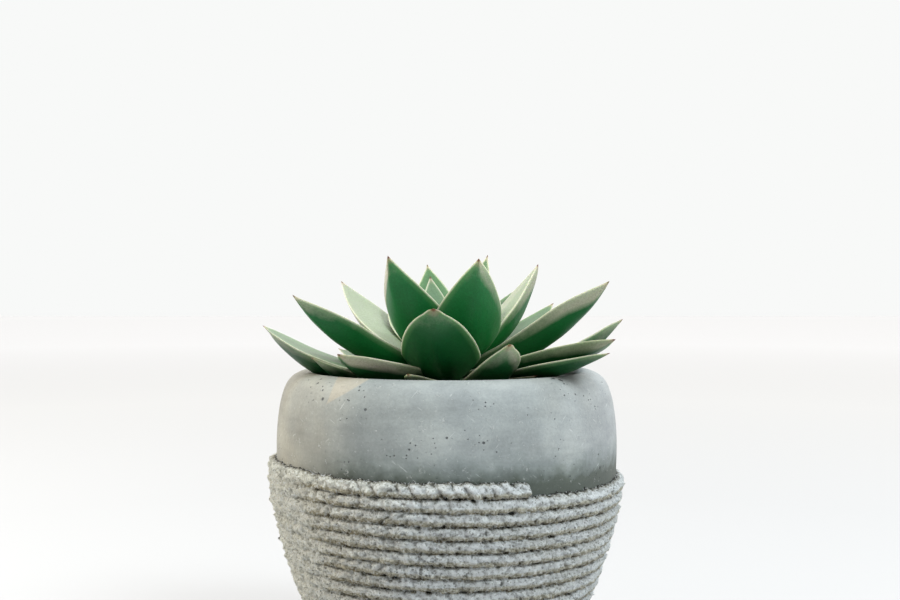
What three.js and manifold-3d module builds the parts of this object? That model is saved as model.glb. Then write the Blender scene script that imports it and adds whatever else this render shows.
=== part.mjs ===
// A rosette succulent in a cast concrete pot whose lower wall carries the relief of a wound rope.
// Millimetres, +Z up. The origin is the centre of the pot's foot, and the front of the pot is -Y.
import * as THREE from "three";
import { ParametricGeometry } from "three/addons/geometries/ParametricGeometry.js";
import { mergeGeometries, mergeVertices } from "three/addons/utils/BufferGeometryUtils.js";
import Module from "manifold-3d";

const wasm = await Module();
wasm.setup();

// Clearance between pieces that touch on the real thing.
const GAP = 0.3;

// Pot: smooth rim band above, rope relief below, plain foot.
const RIM_TOP = 133.7;
const RIM_TOP_RADIUS = 59.5;
const BAND_BOTTOM = 100;
const BAND_RADIUS = 72.4;
const MOUTH_RADIUS = 55;
const FLOOR_THICKNESS = 10;
const FOOT_RADIUS = 39;
const SECTORS = 42;
// Radius and height of the inside, from the rim's inner edge down to the middle of the floor.
const POT_INSIDE = [
  [57.5, 133],
  [56, 130.5],
  [MOUTH_RADIUS, 126],
  [53, 85],
  [47, 45],
  [38, 18],
  [28, FLOOR_THICKNESS],
  [0, FLOOR_THICKNESS],
];

// Outer outline from the foot of the band over the rim, radius and height.
const BAND_OVER_RIM = [
  [BAND_RADIUS, BAND_BOTTOM],
  [BAND_RADIUS, 105],
  [72, 112.5],
  [71.1, 119.5],
  [69.8, 124.7],
  [68.3, 128.6],
  [65.8, 131.6],
  [62.5, 133.2],
  [RIM_TOP_RADIUS, RIM_TOP],
];

// Rope relief: one cord of about 6 mm, wound down the wall clockwise as seen from above.
// Its upper end is a little to the right of the front.
const ROPE_START_SECTOR = 3;
const ROPE_TOP = 93.2;
const ROPE_PITCH = 5.2;
// The whole winding slants: it lies this much higher at the left of the front and lower at the right.
const ROPE_SLANT = 2.3;
const ROPE_TURNS = 16;
const ROPE_RELIEF = 3;
// Heights of a turn's points above its centre, as shares of the pitch: groove, upper and lower shoulder.
const ROPE_ROWS = [0.5, 0.2, -0.2];
const WALL_RADIUS_AT_TOP = 75.4;
const WALL_TOP = 92;
const WALL_TAPER = 0.0305;
const WALL_TAPER_POWER = 1.53;

// Soil and stem. The soil's low swells have about these wave lengths.
const SOIL_TOP = 122.5;
const SOIL_SWELL = 0.35;
const SOIL_WAVES = [31, 38, 57];
const SOIL_RING_SHARES = [1, 0.8, 0.6, 0.4, 0.2, 0];
const STEM_RADIUS = 6.2;
const STEM_SHOULDER = 136.5;
const STEM_TOP = 141;
const STEM_POINT = 1;
const STEM_BOTTOM = 100;
const STEM_SECTORS = 14;

// Rosette: leaves spring from a short spiral round the stem, youngest at the top.
const ROOT_TOP = 141;
const ROOT_STEP = 0.37;
const ROOT_RADIUS = 6.5;
const ROOT_INNER_RADIUS = 1.5;
const ROOT_SPREAD = 0.5;
const LEAF_AROUND = 8;
const LEAF_RINGS = 9;
const SIMPLIFY = 0.03;

// Leaf shape, as shares of its length, width or thickness.
const WIDEST_AT = 0.52;
const BASE_WIDTH = 0.3;
const WAIST_POWER = 0.9;
const TIP_POWER = 1.8;
const THICKEST_AT = 0.42;
const BASE_THICKNESS = 0.4;
const THINNING_POWER = 1.6;
const THIN_TIP_POWER = 0.8;
const MARGIN_ROUNDING = 0.12;
const UPPER_CROWN_AT_BASE = 0.1;
const UPPER_CROWN_AT_TIP = -0.12;
const KEEL_DEPTH = 0.8;
const KEEL_POWER_AT_BASE = 2.2;
const KEEL_POWER_AT_TIP = 1.3;
// The upper side hollows, and the keel sharpens, over this half of the length.
const HOLLOWING_FROM = 0.2;
const SHARPENING_FROM = 0.35;

// One row a leaf, youngest and innermost first. Each covers the ones after it where they cross.
// turn: degrees from +X, -90 is the front; rise: slope at mid length; length, width, thick: mm;
// curl: how far the leaf bends up from base to tip; point: above 1 a drawn-out tip, below 1 a round one;
// lean: sideways sweep; roll: twist about the midrib, both in degrees; widest: place of its full width.
const LEAVES = [
  { turn: 173, rise: 82, length: 20, width: 9, thick: 4, curl: 6, point: 1.1 },
  { turn: 70, rise: 76, length: 27, width: 12, thick: 5, curl: 8, point: 1.1 },
  { turn: -134, rise: 72, length: 27, width: 13, thick: 5, curl: 8, point: 1.1 },
  { turn: -5, rise: 69, length: 30, width: 14, thick: 5, curl: 8, point: 1.1 },
  { turn: 111, rise: 64, length: 38, width: 14, thick: 6, curl: 6, point: 1.2 },
  { turn: -81, rise: 65, length: 30, width: 16, thick: 6, curl: 10, point: 1.1 },
  { turn: -166, rise: 60, length: 30, width: 17, thick: 6, curl: 10, point: 1.1 },
  { turn: 60, rise: 54.5, length: 55.5, width: 15, thick: 6.5, curl: 10, point: 1.2 },
  { turn: -29, rise: 58, length: 30, width: 18, thick: 6, curl: 10, point: 1.1 },
  { turn: 103.5, rise: 51, length: 53.5, width: 19.5, thick: 7, curl: 5, point: 1.3, roll: -22 },
  { turn: -114.5, rise: 51, length: 57, width: 31, thick: 11.5, curl: 9, point: 1.05, lean: -13, roll: -23, widest: 0.48 },
  { turn: 16, rise: 50, length: 55, width: 23, thick: 9.5, curl: 8, point: 1.3, lean: 1, roll: -4, widest: 0.5 },
  { turn: -72, rise: 49, length: 58, width: 31, thick: 11, curl: 28, point: 0.9, lean: -2, roll: -1, widest: 0.4 },
  { turn: 42, rise: 40, length: 54, width: 24, thick: 7, curl: 8, point: 1.2 },
  { turn: 128, rise: 42, length: 46, width: 22, thick: 7, curl: 10, point: 1.1 },
  { turn: 80, rise: 40, length: 54, width: 24, thick: 7, curl: 10, point: 1.1 },
  { turn: -150.5, rise: 25.5, length: 72, width: 22, thick: 8, curl: 21, point: 1.25, lean: 1, roll: 24, widest: 0.58 },
  { turn: -24.5, rise: 29, length: 76, width: 21, thick: 9, curl: 18, point: 1.1, lean: -1, roll: -24, widest: 0.64 },
  { turn: 147, rise: 36, length: 63.5, width: 27, thick: 8, curl: 14, point: 1.05, lean: -1, roll: 1 },
  { turn: -6, rise: 28, length: 54, width: 26, thick: 7.5, curl: 12, point: 1.1 },
  { turn: -94, rise: 27.5, length: 56.5, width: 32, thick: 11, curl: 28, point: 0.5, lean: -2, widest: 0.44 },
  { turn: 36.5, rise: 27.5, length: 61, width: 23, thick: 7, curl: 12, point: 0.95 },
  { turn: 98, rise: 25, length: 62, width: 27, thick: 7.5, curl: 14, point: 1 },
  { turn: 178, rise: 24, length: 52, width: 27, thick: 7.5, curl: 12, point: 1.1 },
  { turn: -33, rise: 12.5, length: 74, width: 26, thick: 7.5, curl: 11, point: 0.7, lean: -1, roll: -22 },
  { turn: 11.5, rise: 17, length: 76, width: 17, thick: 8, curl: 37, point: 0.55, roll: -36 },
  { turn: -130.5, rise: 11, length: 60.5, width: 29, thick: 11, curl: 7, point: 0.75, lean: 3, roll: 6, widest: 0.5 },
  { turn: 66, rise: 18, length: 64, width: 26, thick: 7, curl: 14, point: 1 },
  { turn: -63.5, rise: 16, length: 57, width: 22, thick: 7.5, curl: 54, point: 0.5, lean: -6, roll: 7, widest: 0.64 },
  { turn: 145, rise: 11, length: 55, width: 22, thick: 6, curl: 10, point: 0.9 },
  { turn: 118, rise: 15, length: 64, width: 26, thick: 7, curl: 14, point: 1 },
  { turn: -152, rise: 10.5, length: 57, width: 20.5, thick: 8, curl: 27, point: 0.45, lean: 7, widest: 0.54 },
  { turn: -164, rise: 18, length: 75.5, width: 25, thick: 11, curl: 28, point: 0.5, lean: 5, roll: -13, widest: 0.54 },
  { turn: -40, rise: 11, length: 77, width: 22, thick: 6, curl: 6, point: 0.8, roll: -9, widest: 0.54 },
  { turn: 30, rise: 11, length: 60, width: 24, thick: 6, curl: 12, point: 1 },
  { turn: -12, rise: 11, length: 52, width: 24, thick: 6, curl: 12, point: 1 },
  { turn: -105, rise: 9, length: 52, width: 14, thick: 5, curl: 8, point: 1 },
  { turn: 172, rise: 10, length: 48, width: 22, thick: 6, curl: 12, point: 1 },
  { turn: -49, rise: 8.5, length: 48, width: 13, thick: 4, curl: 2, point: 0.8 },
  { turn: 87, rise: 12, length: 58, width: 24, thick: 6, curl: 12, point: 1 },
];

const HALF_TURN = Math.PI;
const QUARTER_TURN = Math.PI / 2;
const { clamp, degToRad, lerp } = THREE.MathUtils;

const concrete = new THREE.MeshStandardMaterial({ color: 0xa9adaf, roughness: 0.85, metalness: 0 });
const soilMix = new THREE.MeshStandardMaterial({ color: 0x3a2c22, roughness: 1, metalness: 0 });
const woodyStem = new THREE.MeshStandardMaterial({ color: 0x7d6a4c, roughness: 0.8, metalness: 0 });
const leafSkin = new THREE.MeshStandardMaterial({ color: 0x2c6a3c, roughness: 0.5, metalness: 0 });

// A surface with positions alone and its shared vertices merged, as a closed solid.
function toSolid(geometry) {
  geometry.deleteAttribute("normal");
  geometry.deleteAttribute("uv");
  const welded = mergeVertices(geometry, 1e-4);
  return new wasm.Manifold(
    new wasm.Mesh({
      numProp: 3,
      vertProperties: welded.attributes.position.array,
      triVerts: new Uint32Array(welded.index.array),
    }),
  );
}

function toGeometry(solid) {
  const mesh = solid.getMesh();
  const geometry = new THREE.BufferGeometry();
  geometry.setAttribute("position", new THREE.BufferAttribute(mesh.vertProperties, 3));
  geometry.setIndex(new THREE.BufferAttribute(mesh.triVerts, 1));
  geometry.computeVertexNormals();
  return geometry;
}

// A turned shape about the vertical axis, from radius and height pairs.
function turned(outline, sectors) {
  const points = outline.map(([radius, z]) => new THREE.Vector2(radius, z));
  const geometry = new THREE.LatheGeometry(points, sectors);
  geometry.rotateX(QUARTER_TURN);
  return geometry;
}

function addPiece(group, name, solid, material) {
  const mesh = new THREE.Mesh(toGeometry(solid), material.clone());
  mesh.name = name;
  group.add(mesh);
}

// Radius of the rope's crest at height z: the bowl narrows faster towards its foot.
function ropeCrestRadius(z) {
  return WALL_RADIUS_AT_TOP - WALL_TAPER * Math.max(0, WALL_TOP - z) ** WALL_TAPER_POWER;
}

// A point on the pot wall. Sector 0 is the front, and sectors count towards +X.
function wallPoint(sector, radius, z) {
  const angle = (sector / SECTORS) * 2 * HALF_TURN;
  return [radius * Math.sin(angle), -radius * Math.cos(angle), z];
}

// A point of the wound wall, a strip that runs down the helix with three rows of points to a turn.
function windingPoint(step, row) {
  const sector = ROPE_START_SECTOR - step;
  const slant = ROPE_SLANT * Math.sin((sector / SECTORS) * 2 * HALF_TURN);
  const centre = ROPE_TOP - (step / SECTORS) * ROPE_PITCH - slant;
  const z = centre + ROPE_ROWS[row] * ROPE_PITCH;
  const depth = row === 0 ? ROPE_RELIEF : 0;
  return wallPoint(sector, ropeCrestRadius(centre) - depth, z);
}

function addQuad(positions, a, b, c, d) {
  positions.push(...a, ...b, ...c);
  positions.push(...a, ...c, ...d);
}

function addFan(positions, points) {
  for (let i = 1; i < points.length - 1; i++) {
    positions.push(...points[0], ...points[i], ...points[i + 1]);
  }
}

// The wall from the foot of the band to the floor, with the rope relief on it.
function windingGeometry() {
  const steps = ROPE_TURNS * SECTORS;
  const positions = [];
  const bandEdge = (step) => wallPoint(ROPE_START_SECTOR - step, BAND_RADIUS, BAND_BOTTOM);
  const footEdge = (step) => wallPoint(ROPE_START_SECTOR - step, FOOT_RADIUS, 0);
  const groove = (step) => windingPoint(step, 0);
  const upper = (step) => windingPoint(step, 1);
  const lower = (step) => windingPoint(step, 2);
  const nextGroove = (step) => windingPoint(step + SECTORS, 0);
  const addStrip = (step, above, below) => {
    addQuad(positions, above(step), above(step + 1), below(step + 1), below(step));
  };
  for (let step = 0; step < steps; step++) {
    addStrip(step, groove, upper);
    addStrip(step, upper, lower);
    addStrip(step, lower, nextGroove);
  }
  // The band meets the first turn's groove, and the last turn's groove meets the foot.
  for (let step = 0; step < SECTORS; step++) {
    addStrip(step, bandEdge, groove);
    addStrip(steps + step, groove, footEdge);
  }
  // The cord's two cut ends, each a flat fan across the helix.
  addFan(positions, [groove(0), upper(0), lower(0), nextGroove(0), bandEdge(0)]);
  addFan(positions, [groove(steps), footEdge(steps), nextGroove(steps), lower(steps), upper(steps)]);
  return new THREE.BufferGeometry().setAttribute(
    "position",
    new THREE.Float32BufferAttribute(positions, 3),
  );
}

// Everything of the pot that is plain: the foot's underside, the band, the rim and the inside.
function shellGeometry() {
  const foot = [
    [0, 0],
    [FOOT_RADIUS, 0],
  ];
  const pieces = [foot, [...BAND_OVER_RIM, ...POT_INSIDE]].map((outline) => {
    const geometry = turned(outline, SECTORS);
    geometry.deleteAttribute("normal");
    geometry.deleteAttribute("uv");
    return geometry.toNonIndexed();
  });
  return mergeGeometries(pieces);
}

function potSolid() {
  return toSolid(mergeGeometries([shellGeometry(), windingGeometry()]));
}

// The growing mix fills the pot up to a low, uneven top, with a plain hole that the stem stands in.
function soilSolid() {
  const wall = POT_INSIDE.filter(([, z]) => z < SOIL_TOP).map(([radius, z]) => [
    Math.max(0, radius - GAP),
    Math.max(z, FLOOR_THICKNESS + GAP),
  ]);
  const edge = MOUTH_RADIUS - 2 * GAP;
  const hole = STEM_RADIUS + GAP;
  const top = SOIL_RING_SHARES.map((share) => [lerp(hole, edge, share), SOIL_TOP]);
  const geometry = turned([...wall.reverse(), ...top, [hole, STEM_BOTTOM], [0, STEM_BOTTOM]], SECTORS);
  const position = geometry.getAttribute("position");
  for (let i = 0; i < position.count; i++) {
    if (position.getZ(i) > SOIL_TOP - GAP) {
      const x = position.getX(i);
      const y = position.getY(i);
      const [a, b, c] = SOIL_WAVES.map((length) => (2 * HALF_TURN) / length);
      const waves = Math.sin(a * x + 1) * Math.cos(b * y) + Math.sin(c * (x + y));
      position.setZ(i, SOIL_TOP + SOIL_SWELL * waves);
    }
  }
  return toSolid(geometry);
}

// The short stem: straight where it stands in the soil, and tapered to the growing point.
function stemSolid(grow) {
  const outline = [
    [0, STEM_BOTTOM + GAP - grow],
    [STEM_RADIUS + grow, STEM_BOTTOM + GAP - grow],
    [STEM_RADIUS + grow, STEM_SHOULDER],
    [ROOT_INNER_RADIUS + grow, STEM_TOP],
    [0, STEM_TOP + STEM_POINT + grow],
  ];
  return toSolid(turned(outline, STEM_SECTORS));
}

// Share of the full width at a place along the leaf: a waisted base, then the drawn-in tip.
function widthShare(leaf, along) {
  const widest = leaf.widest ?? WIDEST_AT;
  if (along < widest) {
    const toWidest = Math.sin(QUARTER_TURN * clamp(along / widest, 0, 1));
    return lerp(BASE_WIDTH, 1, toWidest ** WAIST_POWER);
  }
  const toTip = clamp((along - widest) / (1 - widest), 0, 1);
  return (1 - toTip ** TIP_POWER) ** leaf.point;
}

// Share of the full thickness at a place along the leaf.
function thicknessShare(along) {
  if (along < THICKEST_AT) {
    return lerp(BASE_THICKNESS, 1, Math.sin(QUARTER_TURN * clamp(along / THICKEST_AT, 0, 1)));
  }
  const toTip = clamp((along - THICKEST_AT) / (1 - THICKEST_AT), 0, 1);
  return (1 - toTip ** THINNING_POWER) ** THIN_TIP_POWER;
}

// A point on the skin of a leaf, grown outwards by a clearance where a neighbour is cut with it.
// The section is flat to hollow above, and below it has a keel that sharpens towards the tip.
function leafPoint(leaf, order, along, angle, grow) {
  const curl = degToRad(leaf.curl);
  const startSlope = degToRad(leaf.rise) - curl / 2;
  const slope = startSlope + curl * along;
  const reach = (leaf.length / curl) * (Math.sin(slope) - Math.sin(startSlope));
  const height = (leaf.length / curl) * (Math.cos(startSlope) - Math.cos(slope));
  const sweep = (leaf.length * degToRad(leaf.lean ?? 0) * along ** 2) / 2;
  const roll = degToRad(leaf.roll ?? 0) * along;

  const cos = Math.cos(angle);
  const sin = Math.sin(angle);
  const hollowing = clamp(2 * (along - HOLLOWING_FROM), 0, 1);
  const sharpening = clamp(2 * (along - SHARPENING_FROM), 0, 1);
  const crown = lerp(UPPER_CROWN_AT_BASE, UPPER_CROWN_AT_TIP, hollowing);
  const keelPower = lerp(KEEL_POWER_AT_BASE, KEEL_POWER_AT_TIP, sharpening);
  const bulge = sin >= 0 ? crown * sin ** 2 : -KEEL_DEPTH * (1 - Math.abs(cos) ** keelPower);
  const across = (leaf.width / 2) * widthShare(leaf, along) * cos + grow * cos;
  const out = leaf.thick * thicknessShare(along) * (MARGIN_ROUNDING * sin + bulge) + grow * sin;

  const side = sweep + across * Math.cos(roll) - out * Math.sin(roll);
  const normal = across * Math.sin(roll) + out * Math.cos(roll);
  const rootRadius = Math.min(ROOT_RADIUS, ROOT_INNER_RADIUS + ROOT_SPREAD * order);
  const forward = rootRadius + reach - normal * Math.sin(slope);
  const turn = degToRad(leaf.turn);
  return new THREE.Vector3(
    forward * Math.cos(turn) - side * Math.sin(turn),
    forward * Math.sin(turn) + side * Math.cos(turn),
    ROOT_TOP - ROOT_STEP * order + height + normal * Math.cos(slope),
  );
}

// One leaf: rings of points, closed by one point at the base and one at the tip.
function leafSolid(leaf, order, grow) {
  const surface = (u, v, target) => {
    const ring = Math.round(v * (LEAF_RINGS + 1));
    const share = Math.max(0, ring - 1) / LEAF_RINGS;
    const along = share + ((2 * share - 1) * grow) / leaf.length;
    if (ring > 0 && ring <= LEAF_RINGS) {
      target.copy(leafPoint(leaf, order, along, 2 * HALF_TURN * u, grow));
    } else {
      const top = leafPoint(leaf, order, along, QUARTER_TURN, grow);
      const bottom = leafPoint(leaf, order, along, -QUARTER_TURN, grow);
      target.lerpVectors(top, bottom, 0.5);
    }
  };
  return toSolid(new ParametricGeometry(surface, LEAF_AROUND, LEAF_RINGS + 1));
}

// The largest body of a cut solid: scraps that the cut leaves are dropped.
function largestBody(solid) {
  const bodies = solid.decompose();
  bodies.sort((a, b) => b.volume() - a.volume());
  return bodies[0];
}

function boxesMeet(a, b) {
  const boxA = a.boundingBox();
  const boxB = b.boundingBox();
  return [0, 1, 2].every((i) => boxA.min[i] < boxB.max[i] && boxB.min[i] < boxA.max[i]);
}

// Each leaf is pressed by the stem and by the younger leaves above it, and is cut back to clear them.
function rosetteSolids() {
  const pressing = [stemSolid(GAP)];
  return LEAVES.map((leaf, order) => {
    let body = leafSolid(leaf, order, 0);
    for (const cutter of pressing) {
      if (boxesMeet(body, cutter)) {
        body = body.subtract(cutter);
      }
    }
    pressing.push(leafSolid(leaf, order, GAP));
    return largestBody(body.simplify(SIMPLIFY));
  });
}

const plant = new THREE.Group();
addPiece(plant, "pot", potSolid(), concrete);
addPiece(plant, "soil", soilSolid(), soilMix);
addPiece(plant, "stem", stemSolid(0), woodyStem);
rosetteSolids().forEach((solid, order) => {
  addPiece(plant, "leaf_" + String(order + 1).padStart(2, "0"), solid, leafSkin);
});

export default plant;
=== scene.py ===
# A rosette succulent in a cast concrete pot with a rope pattern. Metres, +Z up, the front is -Y.
import math
from collections import namedtuple

import bpy
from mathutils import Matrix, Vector, noise


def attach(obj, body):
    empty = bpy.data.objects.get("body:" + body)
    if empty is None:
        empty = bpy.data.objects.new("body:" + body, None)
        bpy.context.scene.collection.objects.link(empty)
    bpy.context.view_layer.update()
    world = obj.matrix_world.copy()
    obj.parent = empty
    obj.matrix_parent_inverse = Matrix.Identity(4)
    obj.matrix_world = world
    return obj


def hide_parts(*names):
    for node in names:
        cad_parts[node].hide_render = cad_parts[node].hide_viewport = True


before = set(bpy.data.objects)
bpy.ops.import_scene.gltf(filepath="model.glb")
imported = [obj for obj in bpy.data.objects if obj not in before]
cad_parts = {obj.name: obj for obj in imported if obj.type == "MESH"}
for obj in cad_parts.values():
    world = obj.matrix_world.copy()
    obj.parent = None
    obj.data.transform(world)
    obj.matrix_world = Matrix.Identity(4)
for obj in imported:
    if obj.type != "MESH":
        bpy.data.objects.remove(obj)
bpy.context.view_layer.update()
MM = 0.001


# The photograph's viewpoint: a little above the plant's middle, half a metre in front of the pot's axis.
PHOTO_WIDTH_PX = 900
FOCAL_PX = 1236
SENSOR_WIDTH = 36
CAMERA_PLACE = (1.4 * MM, -530 * MM, 170.2 * MM)
CAMERA_TILT_DOWN = math.radians(0.74)

bpy.ops.object.camera_add(location=CAMERA_PLACE, rotation=(math.radians(90) - CAMERA_TILT_DOWN, 0, 0))
camera = bpy.context.object
camera.data.sensor_width = SENSOR_WIDTH
camera.data.lens = SENSOR_WIDTH * FOCAL_PX / PHOTO_WIDTH_PX
bpy.context.scene.camera = camera


# The pot is one thick casting of blue-grey concrete. Its band and rim are smooth, with air holes,
# faint trowel marks and cloudy stains, and the wall behind the rope pattern is plain.
# The mould's inside shape gives the round lip, and the foot is flat. Millimetres, as radius and height.
POT_WIDTH = 150
WALL_TOP = 92
WALL_BOTTOM = 9
WALL_ROW = 6
WALL_BEHIND_ROPE = 3
CREST_RADIUS = 75.4
CREST_TAPER = 0.0305
CREST_TAPER_POWER = 1.53
FOOT_EDGE = [(0, 0), (36, 0), (38.4, 0.3), (39, 1.4)]
BAND_AND_RIM = [(72.4, 100), (72.4, 105), (72, 112.5), (71.1, 119.5), (69.8, 124.7), (68.3, 128.6),
                (65.8, 131.6), (62.5, 133.2), (59.5, 133.7), (57.5, 133), (56, 130.5), (55, 126)]
POT_INSIDE = [(53, 85), (47, 45), (38, 18), (28, 10), (0, 10)]
POT_SPIN_STEPS = 96
POT_ROUNDING = 2
MERGE_DISTANCE = 0.01 * MM
# The painted shadow of a leaf on the band: its left end, its lowest point, and how its two straight edges
# slope.
LEAF_SHADOW_LEFT = -46.9
LEAF_SHADOW_BOTTOM = 123.2
LEAF_SHADOW_SLOPE = 0.586
LEAF_SHADOW_LEAN = 0.37
LEAF_SHADOW_CRISPNESS = 1.6
# Dirt and painted shade darken the band over the rope, up to a ragged line that falls to the right.
DIRT_AND_SHADE_FROM = 96
DIRT_AND_SHADE_FALL = 0.015
DIRT_AND_SHADE_RAGGEDNESS = 9
DIRT_AND_SHADE_RAGGED_LENGTH = 5
DIRT_AND_SHADE_FADE = 0.08
# Air holes come in clusters, where a coarse noise is over this level.
HOLE_CLUSTER_SIZE = 17
HOLE_CLUSTER_FROM = 0.4
HOLE_CLUSTER_RISE = 4
HOLE_EDGE = 2.5


def rope_crest_radius(z):
    """Radius over the rope's crests at a height. It shrinks faster towards the foot."""
    return CREST_RADIUS - CREST_TAPER * max(0, WALL_TOP - z) ** CREST_TAPER_POWER


def deselect_everything():
    if bpy.context.object and bpy.context.object.mode == "EDIT":
        bpy.ops.object.mode_set(mode="OBJECT")
    bpy.ops.object.select_all(action="DESELECT")


def linear_colour(hex_colour):
    """A colour written as sRGB hex, as the linear values that a shader takes."""
    channels = [int(hex_colour[i:i + 2], 16) / 255 for i in (1, 3, 5)]
    linear = [c / 12.92 if c <= 0.04045 else ((c + 0.055) / 1.055) ** 2.4 for c in channels]
    return (*linear, 1.0)


def add_node(material, kind, sockets=None, stops=(), **settings):
    """Adds a node. A socket, by name or number, takes a value, a hex colour, another node's output, or a
    node, which stands for its first output. The stops are a ramp's positions and hex colours."""
    node = material.node_tree.nodes.new("ShaderNode" + kind)
    for name, value in settings.items():
        setattr(node, name, value)
    for key, value in (sockets or {}).items():
        if isinstance(value, bpy.types.Node):
            value = value.outputs[0]
        if isinstance(value, bpy.types.NodeSocket):
            material.node_tree.links.new(value, node.inputs[key])
        else:
            node.inputs[key].default_value = linear_colour(value) if isinstance(value, str) else value
    if stops:
        elements = node.color_ramp.elements
        while len(elements) < len(stops):
            elements.new(0.5)
        for element, (position, hex_colour) in zip(elements, stops):
            element.position = position
            element.color = linear_colour(hex_colour)
    return node


def layered(material, base, *layers):
    """A base colour with others laid over it in turn. A layer is its way of blending, its mask or None
    for all over, its strength, and its colour. A Mix node's inputs 6 and 7 and output 2 are colours."""
    for blend, mask, strength, colour in layers:
        if mask is not None:
            strength = add_node(material, "Math", {0: mask, 1: strength}, operation="MULTIPLY")
        mix = add_node(material, "Mix", {0: strength, 6: base, 7: colour}, data_type="RGBA", blend_type=blend)
        base = mix.outputs[2]
    return base


def millimetres(material, stretch=(1, 1, 1), turn=0.0):
    """Object coordinates in millimetres, so that a noise scale is one over a real size."""
    sockets = {
        "Vector": add_node(material, "TexCoord").outputs["Object"],
        "Rotation": (0, math.radians(turn), 0),
        "Scale": [MM / share for share in stretch],
    }
    return add_node(material, "Mapping", sockets, vector_type="TEXTURE")


def cloudy(material, size_mm, detail=2.0, roughness=0.5, stretch=(1, 1, 1), turn=0.0):
    """Cloudy noise whose blotches are about size_mm across."""
    place = millimetres(material, stretch, turn)
    sockets = {"Vector": place, "Scale": 1 / size_mm, "Detail": detail, "Roughness": roughness}
    return add_node(material, "TexNoise", sockets)


def new_material(name):
    material = bpy.data.materials.new(name)
    material.use_nodes = True
    return material, material.node_tree.nodes["Principled BSDF"]


def finish_material(material, shader, colour, roughness, height, depth_mm):
    shader.inputs["Roughness"].default_value = roughness
    bump = add_node(material, "Bump", {"Height": height, "Strength": 1.0, "Distance": depth_mm * MM})
    material.node_tree.links.new(colour, shader.inputs["Base Color"])
    material.node_tree.links.new(bump.outputs["Normal"], shader.inputs["Normal"])


def air_holes(material, spacing_mm, radius_mm):
    """1 inside small round holes and 0 outside, spacing_mm apart where they cluster."""
    cells = add_node(material, "TexVoronoi", {"Vector": millimetres(material), "Scale": 1 / spacing_mm})
    level = cloudy(material, HOLE_CLUSTER_SIZE)
    cluster = add_node(material, "Math", {0: level, 1: HOLE_CLUSTER_FROM}, operation="SUBTRACT")
    radius = HOLE_CLUSTER_RISE * radius_mm / spacing_mm
    size = add_node(material, "Math", {0: cluster, 1: radius}, operation="MULTIPLY")
    inside = add_node(material, "Math", {0: size, 1: cells}, operation="SUBTRACT")
    edge = HOLE_EDGE * spacing_mm / radius_mm
    return add_node(material, "Math", {0: inside, 1: edge}, operation="MULTIPLY", use_clamp=True)


def place_on_pot(material):
    """The x, y and z of a point on the pot, in millimetres."""
    return tuple(add_node(material, "SeparateXYZ", {"Vector": millimetres(material)}).outputs)


def share_across(material, x):
    """0 at the pot's left, seen from the front, and 1 at its right."""
    return add_node(material, "Math", {0: x, 1: 1 / POT_WIDTH, 2: 0.5}, operation="MULTIPLY_ADD")


def painted_leaf_shadow(material, x, y, z):
    """1 inside the three-cornered painted shadow of a leaf, on the front of the band."""
    right = add_node(material, "Math", {0: x, 1: LEAF_SHADOW_LEFT}, operation="SUBTRACT")
    up = add_node(material, "Math", {0: z, 1: LEAF_SHADOW_BOTTOM}, operation="SUBTRACT")
    over_slope = add_node(material, "Math", {0: right, 1: -LEAF_SHADOW_SLOPE, 2: up}, operation="MULTIPLY_ADD")
    past_side = add_node(material, "Math", {0: up, 1: -LEAF_SHADOW_LEAN, 2: right}, operation="MULTIPLY_ADD")
    inside = add_node(material, "Math", {0: over_slope, 1: past_side}, operation="MINIMUM")
    crisp = add_node(material, "Math", {0: inside, 1: LEAF_SHADOW_CRISPNESS}, operation="MULTIPLY", use_clamp=True)
    in_front = add_node(material, "Math", {0: y, 1: 0.0}, operation="LESS_THAN")
    return add_node(material, "Math", {0: crisp, 1: in_front}, operation="MULTIPLY")


def dirt_and_shade_over_rope(material, x, z):
    """The colour that dirt and painted shade give the band: darkest at the rope and none a finger's width
    over it.
    """
    noise_level = cloudy(material, DIRT_AND_SHADE_RAGGED_LENGTH, detail=5)
    ragged = add_node(material, "Math", {0: noise_level, 1: 0.5}, operation="SUBTRACT")
    over_line = add_node(material, "Math", {0: x, 1: DIRT_AND_SHADE_FALL, 2: z}, operation="MULTIPLY_ADD")
    over_rope = add_node(material, "Math", {0: over_line, 1: DIRT_AND_SHADE_FROM}, operation="SUBTRACT")
    sockets = {0: ragged, 1: DIRT_AND_SHADE_RAGGEDNESS, 2: over_rope}
    height = add_node(material, "Math", sockets, operation="MULTIPLY_ADD")
    share = add_node(material, "Math", {0: height, 1: DIRT_AND_SHADE_FADE}, operation="MULTIPLY")
    # dirt with painted shade: dark at the rope, fading to none above
    stops = [(0.0, "#7f877c"), (0.2, "#b0b7b2"), (0.55, "#e4e8e7"), (1.0, "#ffffff")]
    return add_node(material, "ValToRGB", {0: share}, stops)


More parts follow.
